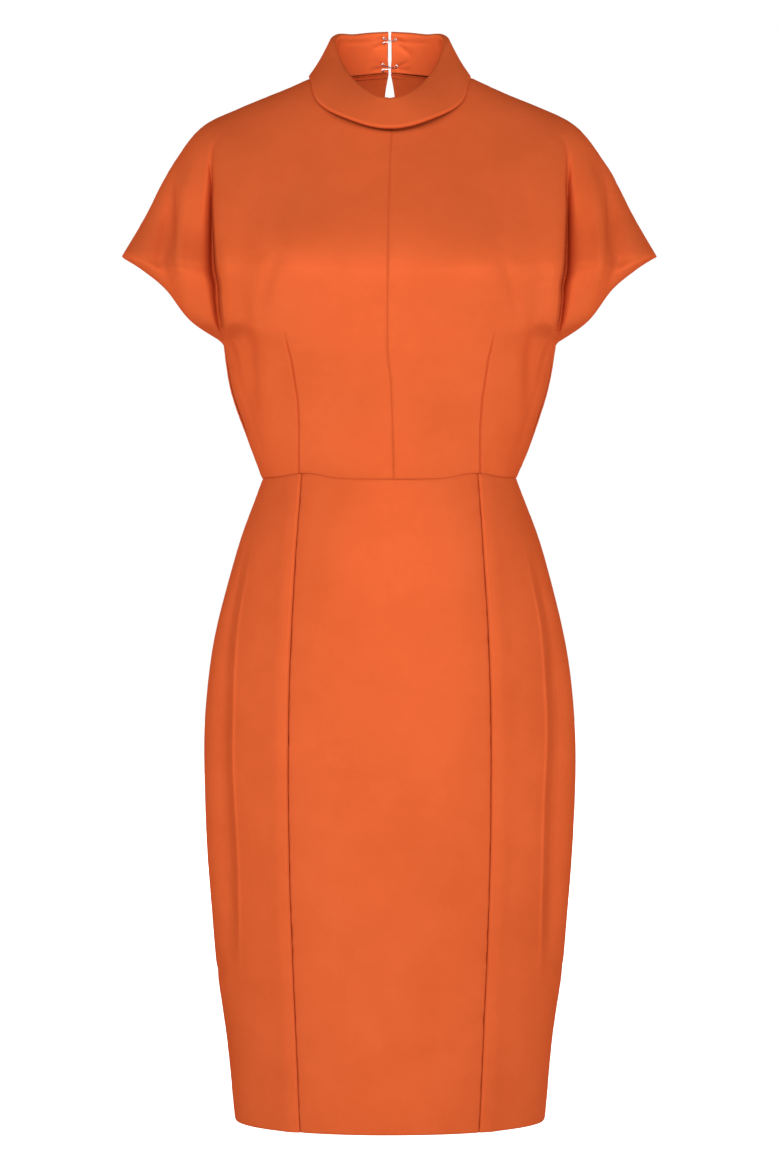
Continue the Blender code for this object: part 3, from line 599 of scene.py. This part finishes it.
def cloth_piece(node, points, outwards, uv, cloths):
    """A shell of cloth on a grid of points, named after the cut piece that it is, whose solid it
    hides.
    """
    name = "cloth_" + node
    rows, across = points.shape[:2]
    index = np.arange(rows * across).reshape(rows, across)
    corners = (index[:-1, :-1], index[1:, :-1], index[1:, 1:], index[:-1, 1:])
    faces = np.stack(corners, axis=-1).reshape(-1, 4)
    first = np.cross(points[1, 0] - points[0, 0], points[0, 1] - points[0, 0])
    if np.dot(first, outwards) < 0:
        faces = faces[:, ::-1]
    mesh = bpy.data.meshes.new(name)
    mesh.from_pydata(points.reshape(-1, 3).tolist(), [], faces.tolist())
    layer = mesh.uv_layers.new(name="cloth")
    loops = np.zeros(len(mesh.loops), dtype=np.int32)
    mesh.loops.foreach_get("vertex_index", loops)
    layer.data.foreach_set("uv", uv.reshape(-1, 2)[loops].ravel())
    mesh.shade_smooth()
    for cloth in cloths:
        mesh.materials.append(cloth)
    piece = bpy.data.objects.new(name, mesh)
    bpy.context.scene.collection.objects.link(piece)
    wall = piece.modifiers.new("thickness", "SOLIDIFY")
    wall.material_offset = 1  # the inner side shows the second cloth, painted lighter as painted light
    wall.thickness = CLOTH
    wall.offset = -1.0
    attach(piece, BODY)
    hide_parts(node)
    return piece


def under_collar(row, x, y):
    """How far the front is pressed in below the free edge of the collar."""
    turn = np.arctan2(x, -y) / QUARTER
    at = np.clip(turn, 0, 2) * STATIONS_PER_TURN
    edge_row = table_row(COLLAR_STATIONS, COLLAR_COLUMNS, at)["edge_row"]
    covered = eased((edge_row + PRESSED_PAST - row) / PRESSED_FADE)
    return PRESSED * covered * ramp(row / PRESSED_FROM) * ramp(PRESSED_TURN - turn)


def centre_wander(x, z):
    """How far the centre front seam lies off the middle, which the cloth beside it follows."""
    down = np.clip(-z, CENTRE_KNOTS[0], CENTRE_KNOTS[-1])
    return through(CENTRE_KNOTS, CENTRE_OFFSETS, down) * hump(x, CENTRE_WANDER_WIDTH)


def bodice_relief(face, side, grid, positions, rows, down):
    """How far each point of a bodice panel stands off its plain form."""
    x, z = grid[..., 0], grid[..., 2]
    seed = 3.1 * side + 1.3 * face
    row = rows[:, None] + 0 * x
    from_centre, from_end = positions, positions[:, -1:] - positions
    is_hem = ramp((row - TIP_ROW) * ROW_SHARPNESS + HEM_MARGIN)
    is_hem = is_hem * ramp((UNDERARM_ROW - row) * ROW_SHARPNESS + HEM_MARGIN)
    slit = ramp((SLIT_END_ROW - row) * ROW_SHARPNESS) if face == BACK else 0.0
    total = seam_relief(from_centre, down, seed) * (1 - slit)
    total += open_edge_relief(from_centre, SLIT_ALLOWANCE) * slit
    total += seam_relief(from_end, down, seed + 1) * (1 - is_hem)
    total += open_edge_relief(from_end, SLEEVE_ALLOWANCE) * is_hem
    total += seam_relief(down[-1:] - down, positions, seed + 2, WAIST_SEAM)
    total += crease_relief(face, side * x, z)
    total += BODICE_UNEVENNESS * unevenness(side * x, z + BACK_SHIFT * face)
    total += seam_relief(down, positions, seed + 3)
    if face == FRONT:
        total += dart_relief(x, z, from_end)
        total -= under_collar(row, x, grid[..., 1])
    return total


def make_bodice(cloths):
    rows = row_positions(0, WAIST_ROW, BODICE_LENGTH)
    for face, name in ((FRONT, "bodice_front"), (BACK, "bodice_back")):
        line = None
        if face == FRONT:
            edge_x = table_row(FOLDS, FOLD_COLUMNS, rows)["edge_x"]
            line = np.minimum(dart_x(section(rows)["z_front"]), DART_INSIDE * edge_x)
        grid, positions = panel_grid(partial(bodice_point, face), rows, (0.0, 2.0), line)
        down = lengths_along(grid, 0)
        normals = level_at_seam(normals_of(grid, face), down[-1:] - down)
        for side, side_name in SIDES:
            relief = bodice_relief(face, side, grid, positions, rows, down)
            points = grid + normals * relief[..., None]
            points[:, 0, 0] = grid[:, 0, 0] - CENTRE_LAP
            points = points if side == LEFT else mirrored(points)
            if face == FRONT:
                points[..., 0] += centre_wander(points[..., 0], points[..., 2])
            uv = np.stack((positions * side, down), axis=-1)
            cloth_piece(f"{name}_{side_name}", points, (0, face, 0), uv, cloths)


CENTRE_PANEL, SIDE_PANEL = "skirt_front_centre", "skirt_front_side"
SKIRT_PANELS = (
    (FRONT, CENTRE_PANEL, (0.0, 1.0)),
    (FRONT, SIDE_PANEL, (1.0, 2.0)),
    (BACK, "skirt_back", (0.0, 2.0)),
)


def panel_puckers(to_seam, z, seed):
    """Short pulls in the centre panel at a few places down its seams."""
    total = np.zeros_like(z)
    for index, place in enumerate(PUCKER_PLACES):
        height = hump(z - place - PULL_SHIFT * math.sin(seed + index), PULL_HEIGHT)
        total -= PULL_DEPTH * height * hump(to_seam, PULL_REACH)
    return total


def skirt_relief(face, side, grid, positions, down, name):
    x, z = grid[..., 0], grid[..., 2]
    seed = 5.3 * side + 2.9 * face
    total = crease_relief(face, side * x, z) + unevenness(side * x, z + BACK_SHIFT * face)
    to_end = positions[:, -1:] - positions
    total += seam_relief(to_end, down, seed + 1, SKIRT_SEAM)
    if name == SIDE_PANEL:
        total += STRIP_LIFT * hump(positions - STRIP_MIDDLE, STRIP_HALF_WIDTH)
    if name == CENTRE_PANEL:
        uneven = SINK_LEAST + SINK_MORE * ripple(SINK_STRETCH * down, seed)
        total -= PANEL_SINK * uneven * np.exp(-to_end / PANEL_SINK_REACH)
        total += panel_puckers(to_end, z, seed)
    else:
        total += seam_relief(positions, down, seed, SKIRT_SEAM)
    total += seam_relief(down, positions, seed + 2, WAIST_SEAM)
    total += open_edge_relief(down[-1:] - down, HEM_ALLOWANCE)
    return total


def with_allowances(points, uv, normals, side, whole):
    """The panel with the allowances of its seams turned in.

    The centre panel is whole: it has its one seam on each half, and a flap that closes the slot.
    """
    inwards = -ALLOWANCE * normals[:, -1:]
    if whole:
        points[:, -1, 0] -= SEAM_SLOT
        behind = points[:, -1:] + inwards / 2
        turned = [behind, behind + (ALLOWANCE, 0.0, 0.0)]
    else:
        turned = [points[:, -1:] + inwards]
    turned_uv = [uv[:, -1:] + (side * ALLOWANCE * (n + 1), 0.0) for n in range(len(turned))]
    all_points, all_uv = [points] + turned, [uv] + turned_uv
    if not whole:
        all_points.insert(0, points[:, :1] - ALLOWANCE * normals[:, :1])
        all_uv.insert(0, uv[:, :1] - (side * ALLOWANCE, 0.0))
    return np.concatenate(all_points, axis=1), np.concatenate(all_uv, axis=1)


def skirt_half(face, side, name, shares):
    """Points and cloth coordinates of a panel, or of one half of the centre panel."""
    rows = row_positions(WAIST_ROW, HEM_ROW, SKIRT_LENGTH, SKIRT_COARSER)
    cut = section(rows)
    whole = name == CENTRE_PANEL
    fold_side = side * face * FRONT  # the back takes the other side's line, so the two differ
    line = None
    if not whole:
        line = np.minimum(fold_line(fold_side, cut["z_front"]), FOLD_INSIDE * cut["reach"])
    grid, positions = panel_grid(partial(skirt_point, face), rows, shares, line)
    down = lengths_along(grid, 0)
    normals = level_at_seam(normals_of(grid, face), down)
    relief = skirt_relief(face, side, grid, positions, down, name)
    points = grid + normals * relief[..., None]
    strength = 1.0 if face == FRONT else BACK_FOLD_SHARE
    push = skirt_fold_push(fold_side, grid[..., 0], grid[..., 2], cut["reach"][:, None])
    points[..., 1] -= face * strength * push
    uv = np.stack((positions * side, down), axis=-1)
    points, uv = with_allowances(points, uv, normals, side, whole)
    return (points if side == LEFT else mirrored(points)), uv


def make_skirt(cloths):
    for face, name, shares in SKIRT_PANELS:
        halves = [skirt_half(face, side, name, shares) for side, _ in SIDES]
        if name == CENTRE_PANEL:
            points, uv = (
                np.concatenate((right[:, :0:-1], left), axis=1) for left, right in zip(*halves)
            )
            cloth_piece(name, points, (0, face, 0), uv, cloths)
            continue
        for (_, side_name), (points, uv) in zip(SIDES, halves):
            cloth_piece(f"{name}_{side_name}", points, (0, face, 0), uv, cloths)


def unit(ways):
    return ways / np.linalg.norm(ways, axis=1, keepdims=True)


def neck_frame(turn, row):
    """Points of the bodice near the neck, and the way out of it there.

    The turns run from 0 at the centre front to 2 at the centre back.
    """
    step = 0.01
    here, out = np.zeros((len(turn), 3)), np.zeros((len(turn), 3))
    for face, chosen in ((FRONT, turn <= 1), (BACK, turn > 1)):
        quarter = turn if face == FRONT else 2 - turn
        at = oval_point(face, row, quarter * QUARTER)
        beside = oval_point(face, row, np.maximum(0.0, quarter - step) * QUARTER)
        beside = np.where((quarter < step)[:, None], at - np.array((step, 0, 0)), beside)
        below = oval_point(face, row + step, quarter * QUARTER)
        way = np.cross(at - beside, below - at) * face
        here[chosen], out[chosen] = at[chosen], way[chosen]
    return here, unit(out)


def collar_half(turn):
    """The collar's left half: a row of points at each turn for each line up, over and down it."""
    station = table_row(COLLAR_STATIONS, COLLAR_COLUMNS, turn * STATIONS_PER_TURN)
    top = np.stack((station["fold_x"], station["fold_y"], station["fold_z"]), axis=-1)
    seam, _ = neck_frame(turn, np.zeros_like(turn))
    outwards = unit(seam * np.array((1, 1, 0)))
    up = np.array((0.0, 0.0, 1.0))
    seam = seam - outwards * COLLAR_INSET
    rest, out = neck_frame(turn, station["edge_row"])
    stand_off = COLLAR_REST + COLLAR_FRONT_REST * ramp(1 - turn)[:, None]
    edge = rest + out * (CLOTH + stand_off)
    inner, outer = top - outwards * COLLAR_ROLL, top + outwards * COLLAR_ROLL
    bulge = out * station["bulge"][:, None]
    for _ in range(3):  # each round brings the roll's end nearer to the slope of the fall
        leaving = edge - outer + math.pi * bulge
        tilt = np.arctan2(np.sum(leaving * outwards, axis=1), -leaving[:, 2])
        roll_end = math.pi - np.clip(tilt, 0, COLLAR_MOST_TILT)[:, None]
        outer = top + COLLAR_ROLL * (up * np.sin(roll_end) - outwards * np.cos(roll_end))
    lines = []
    for share in np.linspace(0, 1, STAND_LINES + 1)[:-1]:
        lines.append(seam + (inner - seam) * share)
    for share in np.linspace(0, 1, ROLL_LINES):
        angle = roll_end * share
        lines.append(top + COLLAR_ROLL * (up * np.sin(angle) - outwards * np.cos(angle)))
    for share in np.linspace(0, 1, FALL_LINES + 1)[1:]:
        lines.append(outer + (edge - outer) * share + bulge * math.sin(math.pi * share))
    down = unit(edge - outer)
    away = unit(out - down * np.sum(out * down, axis=1, keepdims=True))
    for angle in np.linspace(0, COLLAR_CURL_TURN, CURL_LINES + 1)[1:]:
        lines.append(edge + COLLAR_CURL * (away * (math.cos(angle) - 1) + down * math.sin(angle)))
    return np.stack(lines, axis=0)


def stand_creases(points):
    """Dips in the inner face of the collar's stand, drawn together at the hooks."""
    x, z = points[..., 0], points[..., 2]
    total = np.zeros_like(x)
    for x_start, z_start, x_end, z_end, width, depth in STAND_CREASES:
        run = np.array((x_end - x_start, z_end - z_start))
        length = np.linalg.norm(run)
        away = np.stack((x - x_start, z - z_start), axis=-1)
        along = (away @ run) / length**2
        side = (away @ np.array((-run[1], run[0]))) / length
        fade = ramp((along + STAND_BEFORE) / STAND_FADE_IN)
        fade = fade * ramp((1 + STAND_PAST - along) / STAND_FADE_OUT)
        total -= depth * eased(fade) * hump(side, width)
    for height in HOOK_HEIGHTS:
        total -= HOOK_DENT * np.exp(-((x * x + (z - height) ** 2) / HOOK_DENT_REACH**2))
    stand = np.arange(len(points)) < STAND_LINES
    return total * stand[:, None] * (points[..., 1] > 0)


def make_collar(cloths):
    """The collar: its fall shows the outside of the cloth, its stand the inside, in the copy of
    the cloth that is painted lighter as painted light.
    """
    turn = np.concatenate((np.linspace(0, COLLAR_TURNS_END, COLLAR_TURNS), COLLAR_LAST_TURNS))
    left = collar_half(turn)
    half_gap = np.interp(np.linspace(0, 1, len(left)), *zip(*COLLAR_GAP))[:, None]
    left[..., 0] += half_gap * ramp(1 - (2 - turn) / COLLAR_GAP_REACH) ** 2
    points = np.concatenate((mirrored(left)[:, :0:-1], left), axis=1)
    points[..., 1] -= stand_creases(points)
    around = lengths_along(points, 1)
    around = around - around[:, around.shape[1] // 2, None]
    uv = np.stack((around, lengths_along(points, 0)), axis=-1)
    collar = cloth_piece("collar", points, (0, 1, 0.3), uv, cloths)
    collar.modifiers["thickness"].material_offset = 0  # both sides show the cloth set below, with the lighter copy of painted light on the stand
    faces = collar.data.polygons
    shows_inside = np.arange(len(faces)) < (STAND_LINES + INNER_ROLL_LINES) * (len(points[0]) - 1)
    faces.foreach_set("material_index", shows_inside.astype(np.int32))


# ---------------------------------------- materials

CREPE_TINTS = ((0.548, 0.0905, 0.0240, 1.0), (0.602, 0.1040, 0.0300, 1.0))
# The inside of the cloth, painted lighter than the outside: painted light that stands for the
# light reaching into the stand and onto the back through the neck.
INSIDE_PAINTED_LIGHT_TINTS = ((0.800, 0.136, 0.0370, 1.0), (0.840, 0.146, 0.0410, 1.0))
ZIP_TINTS = ((0.52, 0.082, 0.022, 1.0), (0.60, 0.105, 0.030, 1.0))
WIRE_COLOUR = (0.56, 0.55, 0.54, 1.0)
WHITE = (1.0, 1.0, 1.0, 1.0)
CLOTH_LOOKS = {
    "Metallic": 0.24,  # the satin weave gleams in the cloth's own colour
    "Roughness": 0.56,
    "Specular IOR Level": 0.0,
    "Specular Tint": (0.30, 0.06, 0.03, 1.0),
}


def set_inputs(node, values):
    for name, value in values.items():
        node.inputs[name].default_value = value


def new_material(name):
    made = bpy.data.materials.new(name)
    made.use_nodes = True
    return made, made.node_tree, made.node_tree.nodes["Principled BSDF"]


def noise(tree, scale, detail=2.0, roughness=0.5):
    """Noise that stays with the piece, from 0 to 1."""
    coords, made = tree.nodes.new("ShaderNodeTexCoord"), tree.nodes.new("ShaderNodeTexNoise")
    set_inputs(made, {"Scale": scale, "Detail": detail, "Roughness": roughness})
    tree.links.new(coords.outputs["Object"], made.inputs["Vector"])
    return made.outputs["Fac"]


def in_range(tree, value, ends):
    made = tree.nodes.new("ShaderNodeMapRange")
    set_inputs(made, ends)
    tree.links.new(value, made.inputs["Value"])
    return made.outputs["Result"]


def tint(tree, shader, value, tints, places=(0.0, 1.0)):
    """Colours the shader from one tint to the other."""
    made = tree.nodes.new("ShaderNodeValToRGB")
    for element, colour, place in zip(made.color_ramp.elements, tints, places):
        element.position, element.color = place, colour
    tree.links.new(value, made.inputs["Fac"])
    tree.links.new(made.outputs["Color"], shader.inputs["Base Color"])


def crepe(name, tints):
    """Satin-backed crepe: a fine pebbled grain with a soft gleam."""
    made, tree, shader = new_material(name)
    nodes, links = tree.nodes, tree.links
    tint(tree, shader, noise(tree, 9.0, 9.0, 0.72), tints, (0.35, 0.65))
    coords, weave = nodes.new("ShaderNodeTexCoord"), nodes.new("ShaderNodeTexWave")
    weave.bands_direction = "DIAGONAL"
    set_inputs(weave, {"Scale": 380.0, "Distortion": 2.0})
    links.new(coords.outputs["UV"], weave.inputs["Vector"])
    both = nodes.new("ShaderNodeMath")
    both.operation = "MULTIPLY_ADD"
    both.inputs[1].default_value = 0.35  # share of the weave beside the grain
    links.new(weave.outputs["Fac"], both.inputs[0])
    links.new(noise(tree, 1600.0), both.inputs[2])
    bump = nodes.new("ShaderNodeBump")
    set_inputs(bump, {"Strength": 0.35, "Distance": 0.00012})
    links.new(both.outputs["Value"], bump.inputs["Height"])
    links.new(bump.outputs["Normal"], shader.inputs["Normal"])
    set_inputs(shader, CLOTH_LOOKS)
    return made


def metal_wire():
    made, tree, shader = new_material("nickel_wire")
    rough = in_range(tree, noise(tree, 900.0), {"To Min": 0.24, "To Max": 0.42})
    tree.links.new(rough, shader.inputs["Roughness"])
    set_inputs(shader, {"Base Color": WIRE_COLOUR, "Metallic": 1.0})
    return made


def zip_paint():
    made, tree, shader = new_material("zip_paint")
    tint(tree, shader, noise(tree, 420.0), ZIP_TINTS)
    set_inputs(shader, {"Roughness": 0.46, "Specular IOR Level": 0.22})
    return made


def dress_node(node, looks):
    """Gives a solid that stays in view its finish."""
    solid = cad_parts[node]
    for place in range(max(1, len(solid.material_slots))):
        if place < len(solid.material_slots):
            solid.material_slots[place].material = looks
        else:
            solid.data.materials.append(looks)
    solid.data.shade_smooth()


# ---------------------------------------- camera and light

CAMERA_X, CAMERA_DISTANCE = 0.00025, 3.5
PICTURE_CENTRE_Z = -0.505
PICTURE_HEIGHT = 1.170  # of what the picture shows in the shoulder plane
FLOOR_Z, FLOOR_SIZE = -1.42, 40
FLOOR_LOOKS = {"Base Color": (0.80, 0.80, 0.80, 1.0), "Roughness": 0.9, "Emission Color": WHITE}
# The floor glows by the distance from its middle, so that it meets the white world far away.
FLOOR_GLOW = {"From Min": 1.2, "From Max": 2.2, "To Min": 0.12, "To Max": 0.95}
# The world's brightness by height: white up to 15 degrees above the horizon, dimmer overhead.
SKY = {"From Min": 0.26, "From Max": 0.66, "To Min": 1.0, "To Max": 0.28}
LIGHTS = (("front", FRONT, 500), ("back", BACK, 480))  # name, side it stands on, watts
LIGHT_DISTANCE, LIGHT_Z, LIGHT_SIZE = 10.0, 2.10, (6.0, 1.8)
LIGHT_TARGET = Vector((0.0, 0.0, -0.50))


def add_camera():
    data = bpy.data.cameras.new("camera")
    data.sensor_fit = "VERTICAL"
    data.angle = 2 * math.atan(PICTURE_HEIGHT / 2 / CAMERA_DISTANCE)
    camera = bpy.data.objects.new("camera", data)
    camera.location = (CAMERA_X, -CAMERA_DISTANCE, PICTURE_CENTRE_Z)
    camera.rotation_euler = (QUARTER, 0.0, 0.0)
    bpy.context.scene.collection.objects.link(camera)
    bpy.context.scene.camera = camera


def add_light(name, side, energy):
    data = bpy.data.lights.new(name, "AREA")
    data.shape = "RECTANGLE"
    data.size, data.size_y = LIGHT_SIZE
    data.energy = energy
    light = bpy.data.objects.new(name, data)
    light.location = (0.0, side * LIGHT_DISTANCE, LIGHT_Z)
    light.rotation_euler = (LIGHT_TARGET - light.location).to_track_quat("-Z", "Y").to_euler()
    bpy.context.scene.collection.objects.link(light)


def add_world():
    world = bpy.data.worlds.new("studio")
    bpy.context.scene.world = world
    world.use_nodes = True
    tree = world.node_tree
    coords, split = tree.nodes.new("ShaderNodeTexCoord"), tree.nodes.new("ShaderNodeSeparateXYZ")
    background = tree.nodes["Background"]
    tree.links.new(coords.outputs["Generated"], split.inputs["Vector"])
    brightness = in_range(tree, split.outputs["Z"], SKY)
    tree.links.new(brightness, background.inputs["Strength"])
    set_inputs(background, {"Color": WHITE})


def add_floor():
    bpy.ops.mesh.primitive_plane_add(size=FLOOR_SIZE, location=(0, 0, FLOOR_Z))
    floor = bpy.context.object
    floor.name = "floor"
    looks, tree, shader = new_material("floor")
    set_inputs(shader, FLOOR_LOOKS)
    coords, away = tree.nodes.new("ShaderNodeTexCoord"), tree.nodes.new("ShaderNodeVectorMath")
    away.operation = "LENGTH"
    tree.links.new(coords.outputs["Object"], away.inputs[0])
    glow = in_range(tree, away.outputs["Value"], FLOOR_GLOW)
    tree.links.new(glow, shader.inputs["Emission Strength"])
    floor.data.materials.append(looks)


def main():
    cloths = (
        crepe("orange_crepe", CREPE_TINTS),
        crepe("orange_crepe_inside_painted_light", INSIDE_PAINTED_LIGHT_TINTS),
    )
    make_bodice(cloths)
    make_skirt(cloths)
    make_collar(cloths)
    wire, paint = metal_wire(), zip_paint()
    for node in ("hook_top", "eye_top", "hook_neck", "eye_neck"):
        dress_node(node, wire)
    for node in ("zip_slider", "zip_pull"):
        dress_node(node, paint)
    add_camera()
    add_world()
    add_floor()
    for name, side, energy in LIGHTS:
        add_light(name, side, energy)
    bpy.context.scene.view_settings.view_transform = "Standard"


main()
